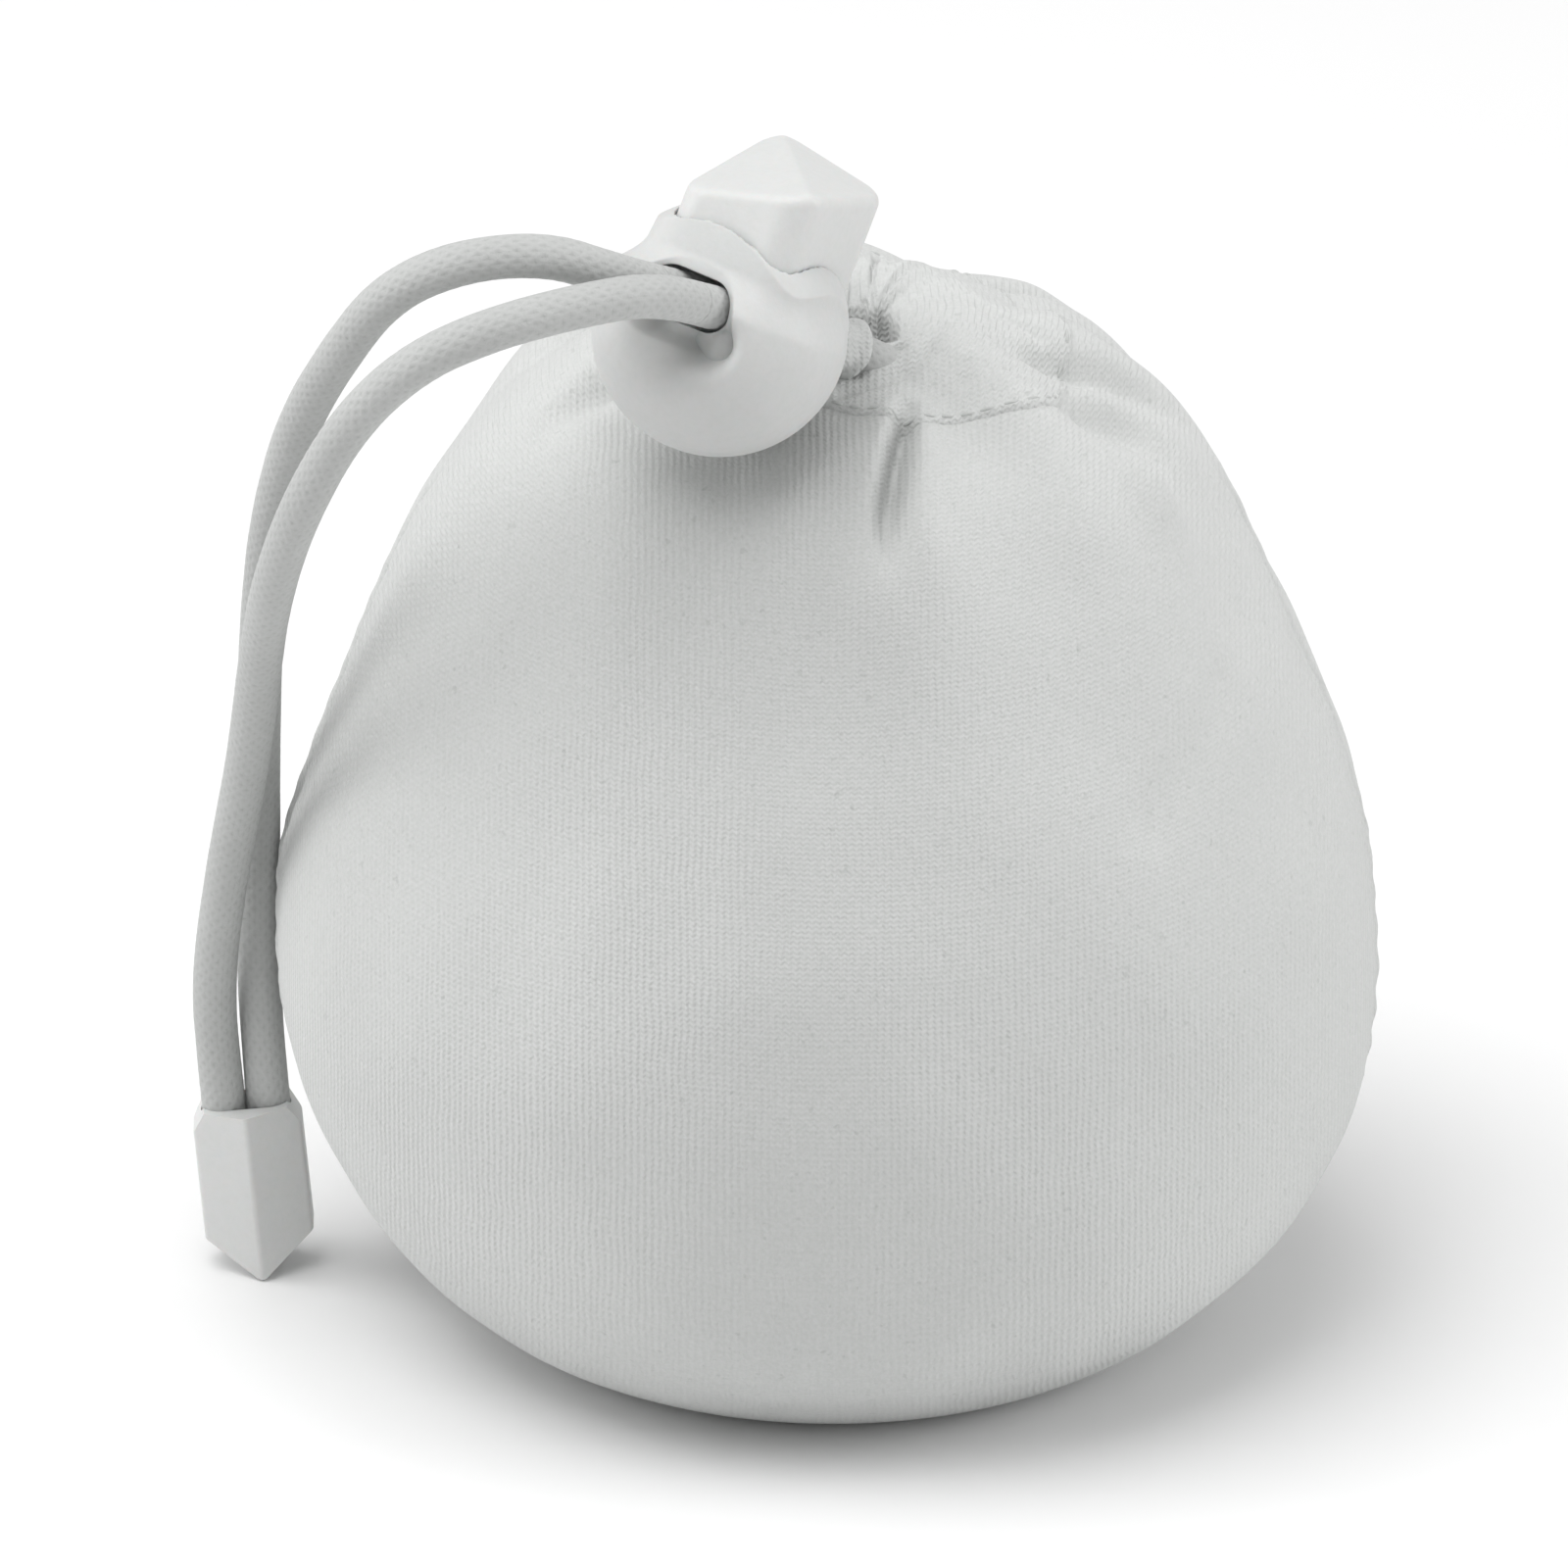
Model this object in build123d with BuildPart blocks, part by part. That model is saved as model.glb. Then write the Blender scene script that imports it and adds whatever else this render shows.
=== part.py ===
from build123d import *
import os
from math import atan2, cos, degrees, pi, radians, sin, tan

# Refillable drawstring ball pouch. Millimetres, +Z up, origin at the centre of the resting face.
# The front is -Y. The drawcord tails arch over to -X and end in one cord end that stands on the floor.

os.makedirs("parts", exist_ok=True)

# ---------------------------------------------------------------- driving dimensions
fabric = 0.8                      # thickness of the knit
layer_gap = 0.15                  # air between the layers of soft pieces
outer_span = 88.0                 # side of the cutting boxes, wider than the pouch
base_radius = 22.0                # flat resting face
pouch_points = [                  # joints between the outline's arcs, from base edge to crown: radius, height
    (base_radius, 0.0),
    (35.0, 12.5),
    (36.2, 42.0),
    (25.4, 65.0),
    (8.0, 74.4),
]
crown_height = 75.0
base_slope = 21.8                  # degrees, how steeply the wall leaves the base

mouth_x = 2.0                     # the gathered mouth sits a little to the right of the crown
loop_height = 74.0
loop_radius = 7.0                 # drawcord round the mouth
casing_half_width = 5.1
casing_half_height = 2.6
panel_hole_radius = 12.3          # where the panels stop and the hem begins
stitch_count = 30
stitch_ring_radius = 10.9
stitch_length = 1.5
stitch_size = 0.3
stitch_height = 75.95

fill_top = 70.3
seam_width = 2.6                  # seam allowance, measured inwards from the panels
seam_thickness = 1.2

cord_diameter = 3.1
cord_clearance = 0.3
cord_spacing = 3.5                # between the two cords in the lock

lock_center = Vector(-7.9, -16.8, 82.15)
lock_hole_axis = Vector(-0.45, -0.76, 0.47)
lock_push_axis = Vector(0.3574, 0.3289, 0.8745)
barrel_radius = 9.0
hole_rise = 1.5                   # the cross hole lies above the barrel's centre
hole_height = cord_diameter + 2 * cord_clearance
hole_width = cord_spacing + hole_height
lip_depth = 2.2
lip_taper = 38
plunger_width = 9.0               # stem, across the cords
plunger_depth = 10.8              # stem, along the cords
plunger_corner = 2.4
plunger_travel = 3.0
plunger_floor = 1.85              # thickness below the plunger's slot
plunger_fit = 0.1
button_width = 10.4               # head, across the cords
button_depth = 11.6               # head, along the cords
button_center = (-0.6, 0.6)       # head's centre, along and across
button_start = 4.2                # rise at which the head widens from the stem
button_facets = [                 # rise at the lock's axis, and normal along, across and up
    (12.1, (0.52, -0.27, 1.0)),   # top that falls steeply to the front
    (12.6, (0.14, 0.15, 1.0)),    # and a second facet that falls to the right
]
button_edge = 0.8
pocket_floor = -5.4
spring_seat = -7.4
spring_radius = 2.1
spring_wire = 0.4
spring_turns = 4
seat_radius = 2.7
lock_travel = 3.0

bell_tip = Vector(-40.3, 4.2, 0.0)
bell_tilt = 5.5                   # degrees, its top leans away from the pouch
bell_width = 7.7
bell_depth = 6.8
bell_side = 2.8                   # depth of its two narrow sides
bell_point = 2.9                  # height of its pointed foot
bell_height = 12.8
bell_shoulder = 0.9                # its top corners are cut back
bell_shoulder_drop = 1.6
bell_edge = 0.5
bell_tip_radius = 0.7
bell_slot_width = 6.4
bell_slot_depth = 3.3
bell_cord_spacing = 3.16
bell_slot_floor = 4.4
bell_cord_end = 7.8
bell_cord_start = 15.2

# ---------------------------------------------------------------- working frames
lock_plane = Plane(origin=lock_center, x_dir=lock_hole_axis, z_dir=lock_push_axis)
bell_axis = Vector(-sin(radians(bell_tilt)), 0, cos(radians(bell_tilt)))
bell_side_axis = Vector(cos(radians(bell_tilt)), 0, sin(radians(bell_tilt)))
bell_plane = Plane(origin=bell_tip, x_dir=bell_side_axis, z_dir=bell_axis)


def in_lock(along, across, rise):
    """Point given along the cross hole, across it and up the push axis."""
    return lock_plane.from_local_coords(Vector(along, across, rise))


def in_bell(side, height):
    """Point in the cord end's middle plane."""
    return bell_plane.from_local_coords(Vector(side, 0, height))


# ---------------------------------------------------------------- pouch
def pouch_face(inset):
    """Half section of the pouch, inset from its outer surface: tangent arcs, all moved inwards alike."""
    slopes = [base_slope]
    for here, after in zip(pouch_points, pouch_points[1:]):
        chord_slope = degrees(atan2(after[1] - here[1], after[0] - here[0]))
        slopes.append(2 * chord_slope - slopes[-1])
    headings = [Vector(1, 0).rotate(Axis.Z, slope) for slope in slopes]
    inwards = [heading.rotate(Axis.Z, 90) * inset for heading in headings]
    joints = [Vector(*point) + shift for point, shift in zip(pouch_points, inwards)]
    with BuildSketch(Plane.XZ) as section:
        with BuildLine():
            Line((0, inset), joints[0])
            for start, heading, end in zip(joints, headings, joints[1:]):
                TangentArc(start, end, tangent=heading)
            Polyline(joints[-1], (0, joints[-1].Y), (0, inset))
        make_face()
    return section.sketch


with BuildPart(mode=Mode.PRIVATE) as skin:
    revolve(pouch_face(0), axis=Axis.Z)
    revolve(pouch_face(fabric), axis=Axis.Z, mode=Mode.SUBTRACT)
    with Locations((mouth_x, 0, crown_height)):
        Cylinder(panel_hole_radius, crown_height - fill_top + panel_hole_radius, mode=Mode.SUBTRACT)

with BuildPart() as front_panel:
    add(skin.part)
    split(bisect_by=Plane.XZ, keep=Keep.TOP)
front_panel.part.label = "front_panel"
export_step(front_panel.part, "parts/front_panel.step")

with BuildPart() as back_panel:
    add(skin.part)
    split(bisect_by=Plane.XZ, keep=Keep.BOTTOM)
back_panel.part.label = "back_panel"
export_step(back_panel.part, "parts/back_panel.step")


def seam_ring(thickness, inner_inset):
    """Upright band between the panels and a deeper inset, on the plane of the side seam."""
    with BuildPart() as ring:
        revolve(pouch_face(fabric + layer_gap / 2), axis=Axis.Z)
        revolve(pouch_face(inner_inset), axis=Axis.Z, mode=Mode.SUBTRACT)
        with Locations((0, 0, fill_top / 2)):
            Box(outer_span, thickness, fill_top, mode=Mode.INTERSECT)
    return ring.part


with BuildPart() as side_seam:
    add(seam_ring(seam_thickness, fabric + seam_width))
side_seam.part.label = "side_seam"
export_step(side_seam.part, "parts/side_seam.step")

with BuildPart() as fill:
    revolve(pouch_face(fabric + layer_gap), axis=Axis.Z)
    with Locations((0, 0, fill_top + crown_height / 2)):
        Box(outer_span, outer_span, crown_height, mode=Mode.SUBTRACT)
    add(seam_ring(seam_thickness + 2 * layer_gap, fabric + seam_width + layer_gap), mode=Mode.SUBTRACT)
fill.part.label = "fill"
export_step(fill.part, "parts/fill.step")


# ---------------------------------------------------------------- drawcord
bend_share = 0.45                  # of the shorter run at a corner, taken up by its bend


def corner_radii(points):
    """Largest easy bend at each corner, from the share of its shorter run."""
    radii = []
    for before, here, after in zip(points, points[1:], points[2:]):
        run_in = here - before
        run_out = after - here
        half_turn = radians(run_in.get_angle(run_out)) / 2
        radii.append(bend_share * min(run_in.length, run_out.length) / tan(half_turn))
    return radii


def cord_tube(points, diameter):
    """Round cord along straight runs joined by tangent arcs."""
    with BuildPart() as tube:
        with BuildLine() as route:
            FilletPolyline(*points, radius=corner_radii(points))
        with BuildSketch(Plane(origin=route.line @ 0, z_dir=route.line % 0)):
            Circle(diameter / 2)
        sweep()
    return tube.part, sum(edge.length for edge in route.edges())


def report_cord(name, points, tube, length):
    """Print the bends of a cord, and its volume against its section times its length."""
    smallest = min(corner_radii(points))
    section = pi * cord_diameter ** 2 / 4
    runs = [(b - a).length for a, b in zip(points, points[1:])]
    turns = [(b - a).get_angle(c - b) for a, b, c in zip(points, points[1:], points[2:])]
    print(name, "length", round(length, 1), "radii", [round(r, 1) for r in corner_radii(points)])
    print("   runs", [round(r, 1) for r in runs], "turns", [round(t) for t in turns])
    print("   smallest", round(smallest, 2), "volume ratio", round(tube.volume / (section * length), 4))


loop_exit_angle = 239.0            # where the two cords leave the hem, towards the lock
loop_first_turn = 50.0
loop_corners = 8
loop_corner_radius = loop_radius + 0.2
neck_reach = -12.0                 # lower end of the straight stretches through the lock
neck_end = 8.6                     # where they come out of the lock's front lip
tail_straight = 5.6                # first run of each tail, straight for the lock to slide along

loop_points = [
    in_lock(neck_end, cord_spacing / 2, hole_rise),
    in_lock(neck_reach, cord_spacing / 2, hole_rise),
]
for corner in range(loop_corners):
    span = 360 - 2 * loop_first_turn
    angle = radians(loop_exit_angle + loop_first_turn + corner * span / (loop_corners - 1))
    loop_points.append(
        Vector(mouth_x + loop_corner_radius * cos(angle), loop_corner_radius * sin(angle), loop_height)
    )
loop_points.append(in_lock(neck_reach, -cord_spacing / 2, hole_rise))
loop_points.append(in_lock(neck_end, -cord_spacing / 2, hole_rise))

tail_front_points = [
    in_lock(neck_end, cord_spacing / 2, hole_rise),
    in_lock(neck_end + tail_straight, cord_spacing / 2, hole_rise),
    Vector(-17.3, -31.3, 90.5),
    Vector(-23.8, -32.8, 89.3),
    Vector(-29.2, -31.8, 86.2),
    Vector(-33.7, -29.3, 80.5),
    Vector(-37.2, -25.5, 72.1),
    Vector(-39.2, -20.0, 63.5),
    Vector(-40.1, -12.7, 54.7),
    Vector(-41.0, -6.5, 44.4),
    Vector(-42.6, -1.3, 33.6),
    Vector(-43.8, 2.1, 23.1),
    in_bell(-bell_cord_spacing / 2, bell_cord_start),
    in_bell(-bell_cord_spacing / 2, bell_cord_end),
]
tail_rear_points = [
    in_lock(neck_end, -cord_spacing / 2, hole_rise),
    in_lock(neck_end + tail_straight, -cord_spacing / 2, hole_rise),
    Vector(-19.8, -28.2, 93.0),
    Vector(-26.0, -28.6, 92.6),
    Vector(-31.0, -26.1, 89.0),
    Vector(-34.4, -21.6, 82.3),
    Vector(-37.3, -16.0, 74.6),
    Vector(-39.2, -10.1, 65.0),
    Vector(-40.1, -4.9, 54.3),
    Vector(-40.4, -0.6, 43.3),
    Vector(-40.5, 3.3, 33.0),
    Vector(-40.6, 4.7, 24.0),
    in_bell(bell_cord_spacing / 2, bell_cord_start),
    in_bell(bell_cord_spacing / 2, bell_cord_end),
]

for name, points in (
    ("drawcord_loop", loop_points),
    ("drawcord_tail_front", tail_front_points),
    ("drawcord_tail_rear", tail_rear_points),
):
    tube, tube_length = cord_tube(points, cord_diameter)
    report_cord(name, points, tube, tube_length)
    tube.label = name
    export_step(tube, f"parts/{name}.step")

# ---------------------------------------------------------------- gathered hem
with BuildPart() as hem_casing:
    with BuildSketch(Plane.XZ):
        with Locations((mouth_x + loop_radius, loop_height)):
            Ellipse(casing_half_width, casing_half_height)
    revolve(axis=Axis((mouth_x, 0, 0), (0, 0, 1)))
    add(cord_tube(loop_points, cord_diameter + 2 * layer_gap)[0], mode=Mode.SUBTRACT)
hem_casing.part.label = "hem_casing"
export_step(hem_casing.part, "parts/hem_casing.step")

with BuildPart() as hem_stitching:
    with Locations((mouth_x, 0, stitch_height)):
        with PolarLocations(stitch_ring_radius, stitch_count):
            Box(stitch_size, stitch_length, stitch_size)
hem_stitching.part.label = "hem_stitching"
export_step(hem_stitching.part, "parts/hem_stitching.step")

# ---------------------------------------------------------------- cord lock
hole_plane = Plane(origin=in_lock(0, 0, hole_rise), x_dir=lock_plane.y_dir, z_dir=lock_plane.x_dir)
lip_start = barrel_radius - lip_depth

with BuildPart() as lock_barrel:
    with Locations(lock_plane):
        Sphere(barrel_radius)
    with BuildSketch(lock_plane.offset(button_start - plunger_travel - plunger_fit)):
        with Locations(button_center):
            RectangleRounded(button_depth + 2 * plunger_fit, button_width + 2 * plunger_fit, plunger_corner)
    extrude(amount=barrel_radius, mode=Mode.SUBTRACT)
    with BuildSketch(lock_plane.offset(pocket_floor)):
        RectangleRounded(plunger_depth + 2 * plunger_fit, plunger_width + 2 * plunger_fit, plunger_corner)
    extrude(amount=2 * barrel_radius, mode=Mode.SUBTRACT)
    with BuildSketch(lock_plane.offset(spring_seat)):
        Circle(seat_radius)
    extrude(amount=barrel_radius, mode=Mode.SUBTRACT)
    with BuildSketch(hole_plane):
        SlotOverall(hole_width, hole_height)
    extrude(amount=2 * barrel_radius, both=True, mode=Mode.SUBTRACT)
    for lip_plane in (hole_plane.offset(lip_start), hole_plane.offset(-lip_start)):
        outward = 1 if lip_plane.origin.X < lock_center.X else -1
        with BuildSketch(lip_plane):
            SlotOverall(hole_width, hole_height)
        extrude(amount=outward * barrel_radius, taper=-lip_taper, mode=Mode.SUBTRACT)
lock_barrel.part.label = "lock_barrel"
export_step(lock_barrel.part, "parts/lock_barrel.step")

plunger_bottom = hole_rise - hole_height / 2 - plunger_floor

with BuildPart() as lock_plunger:
    with BuildSketch(lock_plane.offset(button_start)):
        with Locations(button_center):
            RectangleRounded(button_depth, button_width, plunger_corner)
    extrude(amount=2 * barrel_radius)
    for facet_rise, facet_normal in button_facets:
        facet_axis = in_lock(*facet_normal) - lock_center
        split(bisect_by=Plane(origin=in_lock(0, 0, facet_rise), z_dir=facet_axis), keep=Keep.BOTTOM)
    top_faces = lock_plunger.faces().sort_by(Axis(lock_center, lock_plane.z_dir))[-2:]
    fillet(top_faces.edges(), button_edge)
    with BuildSketch(lock_plane.offset(plunger_bottom)):
        RectangleRounded(plunger_depth, plunger_width, plunger_corner)
    extrude(amount=button_start - plunger_bottom)
    with BuildSketch(hole_plane):
        with Locations((0, plunger_travel / 2)):
            RectangleRounded(hole_width, hole_height + plunger_travel, hole_height / 2 - cord_clearance)
    extrude(amount=2 * barrel_radius, both=True, mode=Mode.SUBTRACT)
lock_plunger.part.label = "lock_plunger"
export_step(lock_plunger.part, "parts/lock_plunger.step")

spring_gap = plunger_fit + spring_wire / 2
spring_height = plunger_bottom - spring_seat - 2 * spring_gap
with BuildPart() as lock_spring:
    with BuildLine() as coil:
        Helix(
            spring_height / spring_turns,
            spring_height,
            spring_radius,
            center=in_lock(0, 0, spring_seat + spring_gap),
            direction=lock_plane.z_dir,
        )
    with BuildSketch(Plane(origin=coil.line @ 0, z_dir=coil.line % 0)):
        Circle(spring_wire / 2)
    sweep(is_frenet=True)
lock_spring.part.label = "lock_spring"
export_step(lock_spring.part, "parts/lock_spring.step")

# ---------------------------------------------------------------- cord end
with BuildPart() as end_bell:
    with BuildSketch(bell_plane):
        with BuildLine():
            Polyline(
                (bell_width / 2, bell_side / 2),
                (0, bell_depth / 2),
                (-bell_width / 2, bell_side / 2),
                (-bell_width / 2, -bell_side / 2),
                (0, -bell_depth / 2),
                (bell_width / 2, -bell_side / 2),
                close=True,
            )
        make_face()
    extrude(amount=bell_height)
    fillet(end_bell.edges().filter_by(Axis(bell_tip, bell_axis)), bell_edge)
    with BuildSketch(Plane(origin=bell_tip, x_dir=bell_plane.x_dir, z_dir=-bell_plane.y_dir)):
        with BuildLine():
            Polyline(
                (0, 0),
                (bell_width, 2 * bell_point),
                (bell_width, bell_height - bell_shoulder_drop),
                (bell_width / 2, bell_height - bell_shoulder_drop),
                (bell_width / 2 - bell_shoulder, bell_height),
                (bell_shoulder - bell_width / 2, bell_height),
                (-bell_width / 2, bell_height - bell_shoulder_drop),
                (-bell_width, bell_height - bell_shoulder_drop),
                (-bell_width, 2 * bell_point),
                close=True,
            )
        make_face()
    extrude(amount=bell_depth, both=True, mode=Mode.INTERSECT)
    fillet(end_bell.edges().filter_by(Axis(bell_tip, bell_plane.y_dir)).sort_by(Axis.Z)[0], bell_tip_radius)
    with BuildSketch(bell_plane.offset(bell_slot_floor)):
        SlotOverall(bell_slot_width, bell_slot_depth)
    extrude(amount=bell_height, mode=Mode.SUBTRACT)
end_bell.part.label = "end_bell"
export_step(end_bell.part, "parts/end_bell.step")

with BuildPart() as end_knot:
    with BuildSketch(bell_plane.offset(bell_slot_floor + layer_gap)):
        SlotOverall(bell_slot_width - 2 * layer_gap, bell_slot_depth - 2 * layer_gap)
    extrude(amount=bell_cord_end - bell_slot_floor - 2 * layer_gap)
end_knot.part.label = "end_knot"
export_step(end_knot.part, "parts/end_knot.step")
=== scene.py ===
"""Looks of the drawstring herbal ball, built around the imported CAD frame. Metres, +Z up, front is -Y."""
from math import atan2, cos, pi, radians, sin, tau

import bmesh
import bpy
import numpy as np
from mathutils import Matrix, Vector, noise


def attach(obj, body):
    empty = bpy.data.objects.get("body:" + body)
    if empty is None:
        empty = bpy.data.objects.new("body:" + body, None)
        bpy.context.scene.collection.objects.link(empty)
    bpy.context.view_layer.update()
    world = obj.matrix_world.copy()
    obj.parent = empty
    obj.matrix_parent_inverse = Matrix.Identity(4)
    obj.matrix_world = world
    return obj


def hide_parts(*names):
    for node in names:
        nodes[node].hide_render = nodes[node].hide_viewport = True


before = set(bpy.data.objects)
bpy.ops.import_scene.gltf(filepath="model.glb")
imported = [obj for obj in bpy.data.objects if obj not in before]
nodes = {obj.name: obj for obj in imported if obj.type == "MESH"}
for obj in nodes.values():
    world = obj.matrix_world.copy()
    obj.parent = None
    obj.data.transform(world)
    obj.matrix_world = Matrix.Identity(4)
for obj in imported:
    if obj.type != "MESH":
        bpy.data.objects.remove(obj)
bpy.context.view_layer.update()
scene = bpy.context.scene
MM = 0.001

# ---------------------------------------------------------------- camera
VIEW_ELEVATION = radians(25)
CAMERA_DISTANCE = 3.0
aim = Vector((-3.45, 0, 39.3)) * MM
back = Vector((0, -cos(VIEW_ELEVATION), sin(VIEW_ELEVATION)))
camera_data = bpy.data.cameras.new("camera")
camera_data.sensor_width = 36
camera_data.lens = 979.0
camera_data.clip_start = 0.05
camera_data.clip_end = 20
camera = bpy.data.objects.new("camera", camera_data)
camera.location = aim + back * CAMERA_DISTANCE
camera.rotation_mode = "QUATERNION"
camera.rotation_quaternion = (-back).to_track_quat("-Z", "Y")
scene.collection.objects.link(camera)
scene.camera = camera

# ---------------------------------------------------------------- shared sizes, as in part.py (mm)
CORD_DIAMETER = 3.1
CORD_SPACING = 3.5
HOLE_RISE = 1.5
NECK_END = 8.6
TAIL_STRAIGHT = 5.6
NECK_REACH = -12.0
LOCK_CENTER = Vector((-7.9, -16.8, 82.15))
lock_z = Vector((0.3574, 0.3289, 0.8745)).normalized()
lock_x = Vector((-0.45, -0.76, 0.47))
lock_x = (lock_x - lock_z * lock_x.dot(lock_z)).normalized()
lock_y = lock_z.cross(lock_x)
BELL_TIP = Vector((-40.3, 4.2, 0))
BELL_TILT = radians(5.5)
bell_z = Vector((-sin(BELL_TILT), 0, cos(BELL_TILT)))
bell_x = Vector((cos(BELL_TILT), 0, sin(BELL_TILT)))
BELL_SPACING = 3.16
MOUTH = Vector((2.0, 0.0))


def in_lock(along, across, rise):
    """Point given along the cross hole, across it and up the push axis."""
    return LOCK_CENTER + lock_x * along + lock_y * across + lock_z * rise


def in_bell(side, height):
    """Point in the cord end's middle plane."""
    return BELL_TIP + bell_x * side + bell_z * height


# ---------------------------------------------------------------- materials
class Graph:
    """A node material under construction."""

    def __init__(self, name, colour):
        self.material = bpy.data.materials.new(name)
        self.material.use_nodes = True
        self.material.diffuse_color = (*colour, 1)
        self.tree = self.material.node_tree
        self.tree.nodes.clear()
        self.shader = self.add("ShaderNodeBsdfPrincipled")
        output = self.add("ShaderNodeOutputMaterial")
        self.link(self.shader.outputs[0], output.inputs["Surface"])

    def add(self, kind, **settings):
        node = self.tree.nodes.new(kind)
        for key, value in settings.items():
            setattr(node, key, value)
        return node

    def link(self, source, target):
        self.tree.links.new(source, target)

    def put(self, socket, value):
        if isinstance(value, bpy.types.NodeSocket):
            self.link(value, socket)
        else:
            socket.default_value = value

    def math(self, operation, *values):
        node = self.add("ShaderNodeMath", operation=operation)
        for socket, value in zip(node.inputs, values):
            self.put(socket, value)
        return node.outputs[0]

    def noise(self, vector, scale, detail=2.0, roughness=0.5):
        node = self.add("ShaderNodeTexNoise")
        self.put(node.inputs["Vector"], vector)
        node.inputs["Scale"].default_value = scale
        node.inputs["Detail"].default_value = detail
        node.inputs["Roughness"].default_value = roughness
        return node.outputs["Fac"]

    def ramp(self, factor, *stops):
        node = self.add("ShaderNodeValToRGB")
        elements = node.color_ramp.elements
        for index, (place, colour) in enumerate(stops):
            element = elements[index] if index < 2 else elements.new(place)
            element.position = place
            element.color = (*colour, 1)
        self.put(node.inputs["Fac"], factor)
        return node.outputs["Color"]

    def multiply(self, first, second, amount=1.0):
        node = self.add("ShaderNodeMix", data_type="RGBA", blend_type="MULTIPLY")
        node.inputs["Factor"].default_value = amount
        self.put(node.inputs["A"], first)
        self.put(node.inputs["B"], second)
        return node.outputs["Result"]

    def bump(self, height, distance, strength=1.0, below=None):
        node = self.add("ShaderNodeBump")
        node.inputs["Strength"].default_value = strength
        node.inputs["Distance"].default_value = distance
        self.put(node.inputs["Height"], height)
        if below is not None:
            self.link(below, node.inputs["Normal"])
        return node.outputs["Normal"]

    def coordinates(self, kind):
        return self.add("ShaderNodeTexCoord").outputs[kind]

    def finish(self, colour, normal, roughness, **values):
        self.put(self.shader.inputs["Base Color"], colour)
        if normal is not None:
            self.link(normal, self.shader.inputs["Normal"])
        self.put(self.shader.inputs["Roughness"], roughness)
        for key, value in values.items():
            self.shader.inputs[key].default_value = value
        return self.material


def grey(level, tint=0.012):
    """Neutral tone with the faint green of the cloth."""
    return (level * (1 - tint), level, level * (1 - tint))


def knit_material(name, level, wale, course, fuzz, speckle=0.5):
    """Cotton jersey: wales, courses and a short fuzz, from the UV map in stitches."""
    g = Graph(name, grey(level))
    place = g.coordinates("Object")
    uv = g.add("ShaderNodeSeparateXYZ")
    g.link(g.coordinates("UV"), uv.inputs[0])
    across, along = uv.outputs[0], uv.outputs[1]
    wander = g.math("MULTIPLY", g.math("SUBTRACT", g.noise(place, 260, 2), 0.5), 1.1)
    across = g.math("ADD", across, wander)
    ridge = g.math("COSINE", g.math("MULTIPLY", across, tau))
    lean = g.math("ABSOLUTE", g.math("SUBTRACT", g.math("FRACT", across), 0.5))
    loops = g.math("COSINE", g.math("MULTIPLY", g.math("ADD", along, lean), tau))
    grain = g.noise(place, 2600, 4, 0.7)
    slub = g.noise(place, 700, 3, 0.6)
    height = g.math("ADD", g.math("MULTIPLY", ridge, wale), g.math("MULTIPLY", loops, course))
    height = g.math("ADD", height, g.math("MULTIPLY", grain, fuzz))
    height = g.math("ADD", height, g.math("MULTIPLY", slub, fuzz * 0.8))
    normal = g.bump(height, 0.0002, 0.85)
    tone = g.ramp(g.noise(place, 45, 3), (0.3, grey(level * 0.965)), (0.7, grey(level)))
    # Painted shade: the colour is darkened a little, most in the grooves between the wales.
    painted_groove_shade = g.math("MULTIPLY_ADD", ridge, 0.012 * wale * 4, 0.97)
    tone = g.multiply(tone, g.ramp(painted_groove_shade, (0.0, (0, 0, 0)), (1.0, (1, 1, 1))), 0.6)
    spots = g.ramp(g.noise(place, 1500, 1), (0.24, grey(0.80)), (0.30, (1, 1, 1)))
    tone = g.multiply(tone, spots, speckle)
    lint = g.ramp(g.noise(place, 3300, 2), (0.35, grey(0.93)), (0.62, (1, 1, 1)))
    tone = g.multiply(tone, lint, 0.7)
    values = {"Sheen Weight": 0.25, "Sheen Roughness": 0.45, "Specular IOR Level": 0.2}
    return g.finish(tone, normal, 0.92, **values)


def cord_material(name, level):
    """Braided elastic cord: carriers crossing at a slant, and fuzz."""
    g = Graph(name, grey(level))
    place = g.coordinates("Object")
    uv = g.add("ShaderNodeSeparateXYZ")
    g.link(g.coordinates("UV"), uv.inputs[0])
    around, along = uv.outputs[0], uv.outputs[1]
    left = g.math("ABSOLUTE", g.math("SINE", g.math("MULTIPLY", g.math("ADD", around, along), pi)))
    right = g.math("ABSOLUTE", g.math("SINE", g.math("MULTIPLY", g.math("SUBTRACT", around, along), pi)))
    weave = g.math("MAXIMUM", left, right)
    grain = g.noise(place, 3000, 4, 0.7)
    height = g.math("ADD", g.math("MULTIPLY", weave, 0.35), g.math("MULTIPLY", grain, 0.5))
    normal = g.bump(height, 0.0002, 0.7)
    tone = g.ramp(g.noise(place, 90, 3), (0.3, grey(level * 0.94)), (0.7, grey(level)))
    # Painted shade: the cord is darkened in the low places of the braid, between the carriers.
    tone = g.multiply(tone, g.ramp(weave, (0.2, grey(0.86)), (0.9, (1, 1, 1))), 0.5)
    tone = g.multiply(tone, g.ramp(grain, (0.3, grey(0.9)), (0.6, (1, 1, 1))), 0.6)
    values = {"Sheen Weight": 0.2, "Sheen Roughness": 0.4, "Specular IOR Level": 0.2}
    return g.finish(tone, normal, 0.9, **values)


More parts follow.
